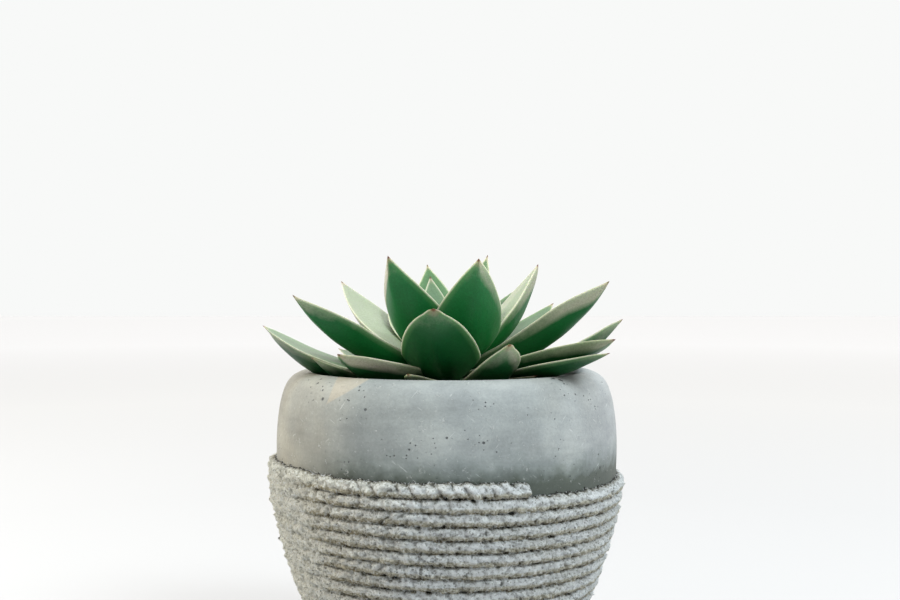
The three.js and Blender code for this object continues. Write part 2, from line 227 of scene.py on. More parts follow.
def smooth_concrete():
    """Cast concrete from a smooth mould: matte with a faint skin, cloudy blue-grey. The sand in it is
    finer than this grit, which is drawn coarse enough to show."""
    material, shader = new_material("smooth_cast_concrete")
    shader.inputs["IOR"].default_value = 1.5
    x, y, z = place_on_pot(material)
    across = share_across(material, x)

    clouds = cloudy(material, size_mm=24, detail=5, roughness=0.6)
    streaks = cloudy(material, size_mm=9, detail=4, stretch=(0.3, 0.3, 2.2))
    grit = cloudy(material, size_mm=1.1, detail=3, roughness=0.7)
    lime = cloudy(material, size_mm=2.6, detail=6, roughness=0.75)
    rising = cloudy(material, size_mm=0.9, detail=2, stretch=(0.12, 0.12, 1), turn=38)
    falling = cloudy(material, size_mm=0.9, detail=2, stretch=(0.12, 0.12, 1), turn=-52)
    scratches = add_node(material, "Math", {0: rising, 1: falling}, operation="MAXIMUM")
    large_holes = air_holes(material, spacing_mm=6, radius_mm=0.75)
    fine_holes = air_holes(material, spacing_mm=2.2, radius_mm=0.4)
    holes = add_node(material, "Math", {0: large_holes, 1: fine_holes}, operation="MAXIMUM")

    stops = [(0.3, "#979da0"), (0.5, "#a9afb1"), (0.72, "#bcc1c1")]
    blue_grey = add_node(material, "ValToRGB", {0: clouds}, stops)
    streaked = add_node(material, "ValToRGB", {0: streaks}, [(0.35, "#8f9496"), (0.55, "#ffffff")])
    warm_clouds = cloudy(material, size_mm=38)
    warm = add_node(material, "ValToRGB", {0: warm_clouds}, [(0.5, "#ffffff"), (0.7, "#efe6d8")])
    # painted side light and shade with some warm stain: warm at the far left, darker over the left third,
    # palest at the right
    stops = [(0.02, "#f4ecda"), (0.18, "#ebe7db"), (0.28, "#d7dad6"),
             (0.5, "#f3f5f2"), (0.72, "#edefec"), (0.95, "#ffffff")]
    side_light_shade_and_stain = add_node(material, "ValToRGB", {0: across}, stops)
    dirt_and_shade_reach = add_node(material, "ValToRGB", {0: across}, [(0.1, "#000000"), (0.25, "#ffffff")])
    gritty = add_node(material, "ValToRGB", {0: grit}, [(0.3, "#606060"), (0.7, "#a2a2a2")])
    limy = add_node(material, "ValToRGB", {0: lime}, [(0.6, "#000000"), (0.7, "#ffffff")])
    scratched = add_node(material, "ValToRGB", {0: scratches}, [(0.7, "#000000"), (0.8, "#ffffff")])
    colour = layered(
        material, blue_grey,
        ("MULTIPLY", None, 0.15, streaked),
        ("MULTIPLY", None, 0.5, warm),
        ("MULTIPLY", None, 1.0, side_light_shade_and_stain),
        # dirt with painted shade, darkest where the band meets the rope, kept off the far left
        ("MULTIPLY", dirt_and_shade_reach, 1.0, dirt_and_shade_over_rope(material, x, z)),
        # painted shadow of a leaf: a beige triangle on the front of the band
        ("MIX", painted_leaf_shadow(material, x, y, z), 0.5, "#bdb19b"),
        ("OVERLAY", None, 0.3, gritty),
        ("MIX", limy, 0.35, "#dfe2e1"),
        ("MIX", scratched, 0.35, "#e4e8e8"),
        ("MIX", holes, 0.85, "#2f3437"),
    )

    height = add_node(material, "Math", {0: grit, 1: 0.25}, operation="MULTIPLY")
    height = add_node(material, "Math", {0: streaks, 1: 0.5, 2: height}, operation="MULTIPLY_ADD")
    height = add_node(material, "Math", {0: limy, 1: 0.3, 2: height}, operation="MULTIPLY_ADD")
    height = add_node(material, "Math", {0: height, 1: holes}, operation="SUBTRACT")
    finish_material(material, shader, colour, roughness=0.62, height=height, depth_mm=0.35)
    return material


def spun(name, section, steps):
    """A section in millimetres, drawn out from one point and then spun about the upright axis."""
    deselect_everything()
    corners = [Vector((radius * MM, 0, height * MM)) for radius, height in section]
    bpy.ops.mesh.primitive_plane_add(size=MM, location=corners[0])
    body = bpy.context.object
    body.name = name
    bpy.ops.object.transform_apply(location=True, rotation=False, scale=False)
    bpy.ops.object.mode_set(mode="EDIT")
    bpy.ops.mesh.merge(type="CENTER")
    for place, corner in zip(corners, corners[1:]):
        bpy.ops.mesh.extrude_vertices_move(TRANSFORM_OT_translate={"value": corner - place})
    bpy.ops.mesh.select_all(action="SELECT")
    bpy.ops.mesh.spin(steps=steps, angle=2 * math.pi, center=(0, 0, 0), axis=(0, 0, 1))
    bpy.ops.mesh.select_all(action="SELECT")
    bpy.ops.mesh.remove_doubles(threshold=MERGE_DISTANCE)
    bpy.ops.mesh.normals_make_consistent(inside=False)
    bpy.ops.object.mode_set(mode="OBJECT")
    bpy.ops.object.shade_smooth()
    return body


wall = [(rope_crest_radius(z) - WALL_BEHIND_ROPE, z) for z in range(WALL_BOTTOM, WALL_TOP, WALL_ROW)]
pot = spun("pot_casting", [*FOOT_EDGE, *wall, *BAND_AND_RIM, *POT_INSIDE], POT_SPIN_STEPS)
rounding = pot.modifiers.new("rounding", "SUBSURF")
rounding.levels = POT_ROUNDING
rounding.render_levels = POT_ROUNDING
bpy.ops.object.modifier_apply(modifier=rounding.name)
pot.data.materials.append(smooth_concrete())
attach(pot, "root")
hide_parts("pot")


# The rope pattern is part of the same casting: a three-strand rope, wound round the model that the
# mould was taken from. The copy is rough and porous, with pale crests and dark grooves.
# It is a closed sleeve round the plain wall, raised by the rope's own section. In millimetres.
ROPE_START = math.radians(25.7)
ROPE_TOP = 93.2
ROPE_PITCH = 5.2
ROPE_TURNS = 16
ROPE_SLANT = 2.3
ROPE_HALF = 3.2
ROPE_RELIEF = 3.0
BLUNT_END = 2.5
SUNK_DEPTH = 3.4
STRAND_COUNT = 3
STRAND_SPACING = 5.2
STRAND_RELIEF = 0.85
TOP_STRANDS = 1.1
LOWER_STRANDS = 0.9
# The rope strays slowly, a few times a turn, and quickly, over a few millimetres.
SLOW_WANDER = 0.7
SLOW_WANDERS_A_TURN = 9
QUICK_WANDER = 0.6
QUICK_WANDER_LENGTH = 5
SWELLING = 0.06
SWELLS_A_TURN = 21
RAGGED_EDGE = 0.26
RAGGED_LENGTH = 2.4
GROOVE_WIDTH = 0.55
GROOVE_DEPTH = 0.9
# Each use of the noise reads a row of its own.
WANDER_ROW = 0.3
SWELLING_ROW = 5.1
EDGE_ROW = 9.7
UPPER_EDGE = 1
LOWER_EDGE = 5
# The winding is rubbed nearly flat at the left, and from further in lower down.
WORN_FROM = -50
WORN_SPREAD = 0.25
WORN_OVER = 16
WORN_LOSS = 0.75
WORN_HEIGHT = 0.3
WORN_LUMP = 1.4
WORN_LUMP_LENGTH = 2.8
# Painted shade darkens the concrete by its depth, at a line that the grain breaks up by so many millimetres.
DEPTH_SHADE_GRAIN = 3.0
SHADE_BY_DEPTH = 0.34
# Crumbly lumps, as how high and how long, and pits where a noise is over its level.
LUMPS = [(0.5, 4.5), (1.1, 1.9), (0.8, 1.15)]
PIT_LENGTH = 2.3
PIT_PLACE = Vector((7, 3, 1))
PIT_LEVEL = 0.42
PIT_DEPTH = 5
SLEEVE_TOP = 99.4
SLEEVE_BOTTOM = 4.6
SLEEVE_ROW = 0.6
SLEEVE_INNER_ROW = 16
SLEEVE_THICKNESS = 6
SLEEVE_STEPS = 560


def rope_wander(total, run, turn):
    """How far the rope strays up or down, from its turns and its run since its start."""
    slow = noise.noise(Vector((SLOW_WANDERS_A_TURN * total, WANDER_ROW, 0)))
    quick = noise.noise(Vector((run / QUICK_WANDER_LENGTH, WANDER_ROW, turn)))
    return SLOW_WANDER * slow + QUICK_WANDER * quick


def rope_half(total, run, edge):
    """Half the rope's height: it swells and its edges are ragged, and its end is blunt."""
    half = ROPE_HALF * (1 + SWELLING * noise.noise(Vector((SWELLS_A_TURN * total, SWELLING_ROW, 0))))
    half *= 1 + RAGGED_EDGE * noise.noise(Vector((run / RAGGED_LENGTH, EDGE_ROW, edge)))
    if run < BLUNT_END:
        half *= math.sqrt(max(0.0, 1 - (1 - run / BLUNT_END) ** 4))
    return half


def strand_swell(height, run, turn):
    """The groove between two strands that are twisted round the rope."""
    twist = (math.asin(height) / (2 * math.pi) - run / (STRAND_COUNT * STRAND_SPACING)) * STRAND_COUNT
    between = abs((twist % 1) - 0.5) * 2
    return STRAND_RELIEF * between ** 4 * (TOP_STRANDS if turn == 0 else LOWER_STRANDS)


def rope_depth(angle, z):
    """How far the relief lies under its crest at an angle from the front, and how high in its turn."""
    depth, height_in_turn = SUNK_DEPTH, 0.0
    turned = ((ROPE_START - angle) / (2 * math.pi)) % 1
    first = ROPE_TOP - turned * ROPE_PITCH - ROPE_SLANT * math.sin(angle)
    nearest = round((first - z) / ROPE_PITCH)
    distances = []
    for turn in (nearest - 1, nearest, nearest + 1):
        if not 0 <= turn < ROPE_TURNS:
            continue
        total = turned + turn
        run = total * 2 * math.pi * rope_crest_radius(z)
        away = z - (first - turn * ROPE_PITCH + rope_wander(total, run, turn))
        half = rope_half(total, run, turn + (UPPER_EDGE if away > 0 else LOWER_EDGE))
        if abs(away) < half:
            height = away / half
            swell = ROPE_RELIEF * (1 - math.sqrt(1 - height ** 2)) + strand_swell(height, run, turn)
            distances.append(abs(away))
            depth, height_in_turn = min((depth, height_in_turn), (swell, height))
    if len(distances) > 1:
        distances.sort()
        gap = distances[1] - distances[0]
        depth += GROOVE_DEPTH * math.exp(-(gap / GROOVE_WIDTH) ** 2)
    return depth, height_in_turn


def crumbled(place, depth, height_in_turn):
    """The rope's depth and height in its turn after wear, lumps and pits."""
    worn = min(1.0, max(0.0, (WORN_FROM - place.x + WORN_SPREAD * (WALL_TOP - place.z)) / WORN_OVER))
    lumps = sum(height * noise.noise(place / length) for height, length in LUMPS)
    lumps += WORN_LUMP * worn * noise.noise(place / WORN_LUMP_LENGTH)
    pit = max(0.0, noise.noise(place / PIT_LENGTH + PIT_PLACE) - PIT_LEVEL)
    depth = depth * (1 - WORN_LOSS * worn) - lumps + PIT_DEPTH * pit
    return depth, height_in_turn * (1 - worn) + WORN_HEIGHT * worn


def raised_rope():
    """The sleeve, with its outer skin moved in or out by the rope's relief."""
    rows = round((SLEEVE_TOP - SLEEVE_BOTTOM) / SLEEVE_ROW)
    heights = [SLEEVE_BOTTOM + (SLEEVE_TOP - SLEEVE_BOTTOM) * row / rows for row in range(rows + 1)]
    outer = [(rope_crest_radius(z), z) for z in heights]
    inner = [(rope_crest_radius(z) - SLEEVE_THICKNESS, z) for z in reversed(heights[::SLEEVE_INNER_ROW])]
    rope = spun("rope_pattern", [*outer, *inner, outer[0]], SLEEVE_STEPS)
    labels = {"depth_mm": [], "height_in_turn": []}
    for vertex in rope.data.vertices:
        place = vertex.co / MM
        radius = math.hypot(place.x, place.y)
        crest = rope_crest_radius(place.z)
        depth, height_in_turn = SUNK_DEPTH, 0.0
        if radius > crest - SLEEVE_THICKNESS / 2:
            depth, height_in_turn = rope_depth(math.atan2(place.x, -place.y), place.z)
            if depth < SUNK_DEPTH:
                depth, height_in_turn = crumbled(place, depth, height_in_turn)
            vertex.co.x *= (crest - depth) / radius
            vertex.co.y *= (crest - depth) / radius
        labels["depth_mm"].append(depth)
        labels["height_in_turn"].append(height_in_turn)
    for name, values in labels.items():
        rope.data.attributes.new(name, "FLOAT", "POINT").data.foreach_set("value", values)
    return rope


def rough_concrete():
    """The same concrete where it left a fibrous mould: open pores, pale crests with painted glints, and
    painted shade under each turn and in the grooves.
    """
    material, shader = new_material("rough_cast_concrete")
    shader.inputs["IOR"].default_value = 1.5
    across = share_across(material, place_on_pot(material)[0])
    depth = add_node(material, "Attribute", attribute_name="depth_mm").outputs["Fac"]
    height_in_turn = add_node(material, "Attribute", attribute_name="height_in_turn").outputs["Fac"]
    grain = cloudy(material, size_mm=1.1, detail=5, roughness=0.8)
    crumbs = cloudy(material, size_mm=0.9, detail=3, roughness=0.6)
    pores = air_holes(material, spacing_mm=1.8, radius_mm=0.5)

    roughened = add_node(material, "Math", {0: grain, 1: 0.5}, operation="SUBTRACT")
    sockets = {0: roughened, 1: DEPTH_SHADE_GRAIN, 2: depth}
    rough_depth = add_node(material, "Math", sockets, operation="MULTIPLY_ADD")
    sunk = add_node(material, "Math", {0: rough_depth, 1: SHADE_BY_DEPTH}, operation="MULTIPLY")
    # painted shade: pale at the crests, darker with depth, near black in the grooves
    stops = [(0.0, "#f2f9fb"), (0.34, "#e0e6e8"), (0.68, "#94958b"), (0.95, "#23251d")]
    crest_to_groove = add_node(material, "ValToRGB", {0: sunk}, stops)
    raised = add_node(material, "Math", {0: height_in_turn, 1: 0.5, 2: 0.5}, operation="MULTIPLY_ADD")
    # painted shade: the lower half of each turn beige-brown and darker
    stops = [(0.1, "#a89976"), (0.36, "#d8cfb8"), (0.5, "#ffffff")]
    painted_shade_below = add_node(material, "ValToRGB", {0: raised}, stops)
    # painted warm side light with some warm stain on the left of the rope
    stops = [(0.05, "#f7f0df"), (0.22, "#f5eee0"), (0.42, "#ffffff")]
    side_light_shade_and_stain = add_node(material, "ValToRGB", {0: across}, stops)
    clouds = cloudy(material, size_mm=16, detail=3)
    clouded = add_node(material, "ValToRGB", {0: clouds}, [(0.35, "#e6e3da"), (0.6, "#ffffff")])
    shaded = add_node(material, "ValToRGB", {0: crumbs}, [(0.34, "#77786c"), (0.47, "#ffffff")])
    # painted glints: pale bluish flecks standing for highlights on the crests
    painted_glints = add_node(material, "ValToRGB", {0: crumbs}, [(0.53, "#000000"), (0.62, "#ffffff")])
    colour = layered(
        material, crest_to_groove,
        ("MULTIPLY", None, 0.9, painted_shade_below),
        ("MULTIPLY", None, 0.9, side_light_shade_and_stain),
        ("MULTIPLY", None, 0.5, clouded),
        ("MULTIPLY", None, 0.6, shaded),
        ("MIX", painted_glints, 0.6, "#f4f9fa"),
        ("MIX", pores, 0.6, "#3c3b34"),
    )

    height = add_node(material, "Math", {0: grain, 1: 2.0, 2: crumbs}, operation="MULTIPLY_ADD")
    height = add_node(material, "Math", {0: height, 1: pores}, operation="SUBTRACT")
    finish_material(material, shader, colour, roughness=0.8, height=height, depth_mm=1.0)
    return material


rope = raised_rope()
rope.data.materials.append(rough_concrete())
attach(rope, "root")
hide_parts("pot")


# Growing mix fills the pot: dark peat and bark with pale grit, loose and uneven on top.
SOIL_TOP = 122.5 * MM
SOIL_RADIUS = 54.4 * MM
SOIL_DEPTH = 40 * MM
SOIL_SIDES = 96
SOIL_CRUMB = 1.5 * MM
HEAPED_DEPTH = 2 * MM
HEAP_HEIGHT = 1.4 * MM
WIDE_HEAP = 0.35
WIDE_HEAP_LENGTH = 14
SMALL_HEAP = 0.3
SMALL_HEAP_LENGTH = 3
SETTLING = 0.35
GRIT_SPACING = 2.6
GRIT_SHARE = 0.24


def gritty_soil():
    """Peat and bark crumbs, nearly black, with pale mineral grit in between."""
    material, shader = new_material("peat_and_grit")
    shader.inputs["IOR"].default_value = 1.4
    crumbs = cloudy(material, size_mm=2.2, detail=6, roughness=0.75)
    stops = [(0.35, "#1c1410"), (0.55, "#3d2d22"), (0.7, "#6b5340")]
    peat = add_node(material, "ValToRGB", {0: crumbs}, stops)
    cells = add_node(material, "TexVoronoi", {"Vector": millimetres(material), "Scale": 1 / GRIT_SPACING})
    grit = add_node(material, "Math", {0: cells, 1: GRIT_SHARE}, operation="LESS_THAN")
    colour = layered(material, peat, ("MIX", grit, 0.6, "#a39a8c"))
    finish_material(material, shader, colour, roughness=0.95, height=crumbs, depth_mm=1.2)
    return material


def heaped_soil():
    """A closed plug of soil whose top is cut into small squares and heaped by noise."""
    deselect_everything()
    bpy.ops.mesh.primitive_cylinder_add(vertices=SOIL_SIDES, radius=SOIL_RADIUS, depth=SOIL_DEPTH,
                                        end_fill_type="TRIFAN", location=(0, 0, SOIL_TOP - SOIL_DEPTH / 2))
    soil = bpy.context.object
    soil.name = "growing_mix"
    bpy.ops.object.transform_apply(location=True, rotation=False, scale=False)
    crumbling = soil.modifiers.new("crumbling", "REMESH")
    crumbling.mode = "VOXEL"
    crumbling.voxel_size = SOIL_CRUMB
    bpy.ops.object.modifier_apply(modifier=crumbling.name)
    for vertex in soil.data.vertices:
        if vertex.co.z > SOIL_TOP - HEAPED_DEPTH:
            place = vertex.co / MM
            heap = WIDE_HEAP * noise.noise(place / WIDE_HEAP_LENGTH)
            heap += SMALL_HEAP * noise.noise(place / SMALL_HEAP_LENGTH)
            vertex.co.z += HEAP_HEIGHT * (heap - SETTLING)
    bpy.ops.object.shade_smooth()
    return soil


soil = heaped_soil()
soil.data.materials.append(gritty_soil())
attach(soil, "root")
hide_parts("soil")


# The rosette's short stem is woody and pale brown, ringed by the scars of shed leaves.
# It stands in the soil and tapers to the growing point in the middle of the youngest leaves.
STEM_RADIUS = 6.2 * MM
STEM_SIDES = 32
STEM_BOTTOM = 100.5 * MM
STEM_SHOULDER = 136.5 * MM
STEM_TOP = 141.5 * MM
STEM_TAPER = 0.25
SCAR_SPACING = 3 * MM
SCAR_DEPTH = 0.06
CUTS_BETWEEN_SCARS = 3


def woody_bark():
    """Dry corky skin with fibres along the stem."""
    material, shader = new_material("leaf_scarred_bark")
    shader.inputs["IOR"].default_value = 1.45
    fibres = cloudy(material, size_mm=1.5, detail=4, stretch=(1, 1, 0.3))
    stops = [(0.3, "#5b4a33"), (0.6, "#8d7a58"), (0.8, "#a9987a")]
    colour = add_node(material, "ValToRGB", {0: fibres}, stops).outputs["Color"]
    finish_material(material, shader, colour, roughness=0.8, height=fibres, depth_mm=0.4)
    return material


def scarred_stem():
    """A round post with its top face drawn up to a blunt cone, cut across and pinched at each scar."""
    deselect_everything()
    bpy.ops.mesh.primitive_cylinder_add(vertices=STEM_SIDES, radius=STEM_RADIUS,
                                        depth=STEM_SHOULDER - STEM_BOTTOM,
                                        location=(0, 0, (STEM_SHOULDER + STEM_BOTTOM) / 2))
    stem = bpy.context.object
    stem.name = "stem_wood"
    bpy.ops.object.transform_apply(location=True, rotation=False, scale=False)
    bpy.ops.object.mode_set(mode="EDIT")
    bpy.ops.mesh.select_all(action="DESELECT")
    bpy.ops.object.mode_set(mode="OBJECT")
    for face in stem.data.polygons:
        face.select = face.normal.z > 0.9
    bpy.ops.object.mode_set(mode="EDIT")
    bpy.ops.mesh.extrude_region_move(TRANSFORM_OT_translate={"value": (0, 0, STEM_TOP - STEM_SHOULDER)})
    bpy.ops.transform.resize(value=(STEM_TAPER, STEM_TAPER, 1))
    cuts = round((STEM_TOP - STEM_BOTTOM) / SCAR_SPACING * CUTS_BETWEEN_SCARS)
    for cut in range(1, cuts):
        bpy.ops.mesh.select_all(action="SELECT")
        height = STEM_BOTTOM + (STEM_TOP - STEM_BOTTOM) * cut / cuts
        bpy.ops.mesh.bisect(plane_co=(0, 0, height), plane_no=(0, 0, 1))
    bpy.ops.object.mode_set(mode="OBJECT")
    for vertex in stem.data.vertices:
        ring = 1 - SCAR_DEPTH * (1 + math.cos(2 * math.pi * vertex.co.z / SCAR_SPACING)) / 2
        vertex.co.x *= ring
        vertex.co.y *= ring
    bpy.ops.object.shade_smooth()
    return stem


stem = scarred_stem()
stem.data.materials.append(woody_bark())
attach(stem, "root")
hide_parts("stem")


# The leaves are thick, water-filled and waxy, in a spiral on the stem. Each is deep green with a
# rounded keel below, nearly flat above, with a thin glassy margin and a hard red-brown point.
# One row a leaf, youngest first, in the order of the nodes leaf_01, leaf_02 and so on.
# turn: degrees from +X, -90 is the front; rise: slope at mid length; length, width, thick: mm;
# curl: how far it bends up; point: above 1 a drawn-out tip; lean: sideways sweep; roll: twist;
# widest: the place of the full width as a share of the length.
Leaf = namedtuple("Leaf", "turn rise length width thick curl point lean roll widest")
LEAVES = [
    (173, 82, 20, 9, 4, 6, 1.1, 0, 0, 0.52),
    (70, 76, 27, 12, 5, 8, 1.1, 0, 0, 0.52),
    (-134, 72, 27, 13, 5, 8, 1.1, 0, 0, 0.52),
    (-5, 69, 30, 14, 5, 8, 1.1, 0, 0, 0.52),
    (111, 64, 38, 14, 6, 6, 1.2, 0, 0, 0.52),
    (-81, 65, 30, 16, 6, 10, 1.1, 0, 0, 0.52),
    (-166, 60, 30, 17, 6, 10, 1.1, 0, 0, 0.52),
    (60, 54.5, 55.5, 15, 6.5, 10, 1.2, 0, 0, 0.52),
    (-29, 58, 30, 18, 6, 10, 1.1, 0, 0, 0.52),
    (103.5, 51, 53.5, 19.5, 7, 5, 1.3, 0, -22, 0.52),
    (-114.5, 51, 57, 31, 11.5, 9, 1.05, -13, -23, 0.48),
    (16, 50, 55, 23, 9.5, 8, 1.3, 1, -4, 0.5),
    (-72, 49, 58, 31, 11, 28, 0.9, -2, -1, 0.4),
    (42, 40, 54, 24, 7, 8, 1.2, 0, 0, 0.52),
    (128, 42, 46, 22, 7, 10, 1.1, 0, 0, 0.52),
    (80, 40, 54, 24, 7, 10, 1.1, 0, 0, 0.52),
    (-150.5, 25.5, 72, 22, 8, 21, 1.25, 1, 24, 0.58),
    (-24.5, 29, 76, 21, 9, 18, 1.1, -1, -24, 0.64),
    (147, 36, 63.5, 27, 8, 14, 1.05, -1, 1, 0.52),
    (-6, 28, 54, 26, 7.5, 12, 1.1, 0, 0, 0.52),
    (-94, 27.5, 56.5, 32, 11, 28, 0.5, -2, 0, 0.44),
    (36.5, 27.5, 61, 23, 7, 12, 0.95, 0, 0, 0.52),
    (98, 25, 62, 27, 7.5, 14, 1, 0, 0, 0.52),
    (178, 24, 52, 27, 7.5, 12, 1.1, 0, 0, 0.52),
    (-33, 12.5, 74, 26, 7.5, 11, 0.7, -1, -22, 0.52),
    (11.5, 17, 76, 17, 8, 37, 0.55, 0, -36, 0.52),
    (-130.5, 11, 60.5, 29, 11, 7, 0.75, 3, 6, 0.5),
    (66, 18, 64, 26, 7, 14, 1, 0, 0, 0.52),
    (-63.5, 16, 57, 22, 7.5, 54, 0.5, -6, 7, 0.64),
    (145, 11, 55, 22, 6, 10, 0.9, 0, 0, 0.52),
    (118, 15, 64, 26, 7, 14, 1, 0, 0, 0.52),
    (-152, 10.5, 57, 20.5, 8, 27, 0.45, 7, 0, 0.54),
    (-164, 18, 75.5, 25, 11, 28, 0.5, 5, -13, 0.54),
    (-40, 11, 77, 22, 6, 6, 0.8, 0, -9, 0.54),
    (30, 11, 60, 24, 6, 12, 1, 0, 0, 0.52),
    (-12, 11, 52, 24, 6, 12, 1, 0, 0, 0.52),
    (-105, 9, 52, 14, 5, 8, 1, 0, 0, 0.52),
    (172, 10, 48, 22, 6, 12, 1, 0, 0, 0.52),
    (-49, 8.5, 48, 13, 4, 2, 0.8, 0, 0, 0.52),
    (87, 12, 58, 24, 6, 12, 1, 0, 0, 0.52),
]
# How much pale waxy bloom and painted sheen lie on the right and left halves of a leaf, by the number in its
# node's name.
# 0 is none and 1 is thick.
LEAF_WAX_AND_SHEEN = {5: (0.2, 0.2), 8: (0.2, 0.2), 10: (0.12, 0.12), 11: (0.03, 0.95), 12: (0.9, 0.6),
            13: (0.36, 0.06), 17: (0.3, 0.04), 18: (0.12, 0.62), 19: (0.8, 0.8), 21: (0.08, 0.08),
            25: (0.06, 0.5), 27: (0.66, 0.04), 29: (0.36, 0.2), 33: (0.3, 0.3), 34: (0.0, 0.15)}
USUAL_WAX_AND_SHEEN = (0.22, 0.22)
# The bloom and painted sheen begin near the tip, and where the table gives them, in a band along the margin,
# in millimetres.
BLOOM_SHEEN_START = 0.95
BLOOM_SHEEN_RISE = 3.0
BLOOM_SHEEN_WANDER = 0.4
BLOOM_SHEEN_THICKNESS = 0.45
BLOOM_SHEEN_BAND = 8.5
BAND_SOFTNESS = 0.2
BAND_WANDER = 6
BAND_GAIN = 0.9
# The oldest, lowest leaves are painted a deeper green as painted shade: the change begins after this leaf and
# takes so many more.
LOW_LEAF_SHADE_FROM = 16
LOW_LEAF_SHADE_OVER = 7
# A blunt leaf narrows to a short spike, this long in millimetres on the bluntest.
SPIKE_FROM = 0.975
SPIKE_LENGTH = 2.0
SPIKE_CURVE = 1.5
# The leaves leave the stem in a spiral, each a little lower and further out than the one before.
ROOT_TOP = 141
ROOT_STEP = 0.37
ROOT_RADIUS = 6.5
ROOT_INNER_RADIUS = 1.5
ROOT_SPREAD = 0.5
# Width and thickness along a leaf, as shares of the full ones.
BASE_WIDTH = 0.3
BASE_FLARE = 0.9
TIP_TAPER = 1.8
THICKEST_AT = 0.42
BASE_THICKNESS = 0.4
THINNING = 1.6
THINNING_POWER = 0.8
POINT_FROM = 0.955
POINT_RADIUS = 0.75
POINT_TAPER = 0.8
POINT_THICKNESS = 1.6
# Across a leaf: a thin rim, a keel below that sharpens, and a top that goes from crowned to hollow.
RIM_SHARE = 0.12
KEEL_SHARE = 0.8
KEEL_ROUNDNESS = 2.2
KEEL_SHARPENING = 0.9
KEEL_SHARPENS_FROM = 0.35
CROWN = 0.1
HOLLOWING = 0.22
HOLLOW_FROM = 0.2
LEAF_SEGMENTS = 40
LEAF_RINGS = 56
RING_CROWDING = 1.25
AT_POLE = 0.99999
SKIN_WAVER = 0.22
SKIN_WAVER_LENGTH = 11
SKIN_WAVER_SEED = 7
UPPER_BLEND = 3
HALVES_BLEND = 2.5


def clamped(value):
    return min(1.0, max(0.0, value))


def leaf_width_share(along, point, widest):
    if along < widest:
        flare = math.sin(math.pi / 2 * clamped(along / widest)) ** BASE_FLARE
        return BASE_WIDTH + (1 - BASE_WIDTH) * flare
    return (1 - clamped((along - widest) / (1 - widest)) ** TIP_TAPER) ** point


def leaf_thickness_share(along):
    if along < THICKEST_AT:
        return BASE_THICKNESS + (1 - BASE_THICKNESS) * math.sin(math.pi / 2 * clamped(along / THICKEST_AT))
    return (1 - clamped((along - THICKEST_AT) / (1 - THICKEST_AT)) ** THINNING) ** THINNING_POWER


def leaf_spine(leaf, along):
    """Reach, height and slope of the leaf's middle line, an arc that runs out in the tip's spike."""
    curl = math.radians(leaf.curl)
    start = math.radians(leaf.rise) - curl / 2
    slope = start + curl * along
    spike = clamped((along - SPIKE_FROM) / (1 - SPIKE_FROM)) ** SPIKE_CURVE
    spike *= SPIKE_LENGTH * clamped(2 * (1 - leaf.point))
    reach = leaf.length / curl * (math.sin(slope) - math.sin(start)) + spike * math.cos(slope)
    height = leaf.length / curl * (math.cos(start) - math.cos(slope)) + spike * math.sin(slope)
    return reach, height, slope


def leaf_skin_place(leaf, order, along, angle):
    """A point on the leaf's skin in millimetres: flat to hollow above, keeled below."""
    reach, height, slope = leaf_spine(leaf, along)
    sweep = leaf.length * math.radians(leaf.lean) * along ** 2 / 2
    twist = math.radians(leaf.roll) * along

    cos = math.cos(angle)
    sin = math.sin(angle)
    horn = POINT_RADIUS * clamped((1 - along) / (1 - POINT_FROM)) ** POINT_TAPER
    half_width = max(leaf.width / 2 * leaf_width_share(along, leaf.point, leaf.widest), horn)
    depth = max(leaf.thick * leaf_thickness_share(along), POINT_THICKNESS * horn)
    crown = CROWN - HOLLOWING * clamped(2 * (along - HOLLOW_FROM))
    keel = KEEL_ROUNDNESS - KEEL_SHARPENING * clamped(2 * (along - KEEL_SHARPENS_FROM))
    bulge = crown * sin ** 2 if sin >= 0 else -KEEL_SHARE * (1 - abs(cos) ** keel)
    across = half_width * cos
    out = depth * (RIM_SHARE * sin + bulge)

    side = sweep + across * math.cos(twist) - out * math.sin(twist)
    normal = across * math.sin(twist) + out * math.cos(twist)
    root = min(ROOT_RADIUS, ROOT_INNER_RADIUS + ROOT_SPREAD * order)
    forward = root + reach - normal * math.sin(slope)
    turn = math.radians(leaf.turn)
    return Vector((
        forward * math.cos(turn) - side * math.sin(turn),
        forward * math.sin(turn) + side * math.cos(turn),
        ROOT_TOP - ROOT_STEP * order + height + normal * math.cos(slope),
    ))


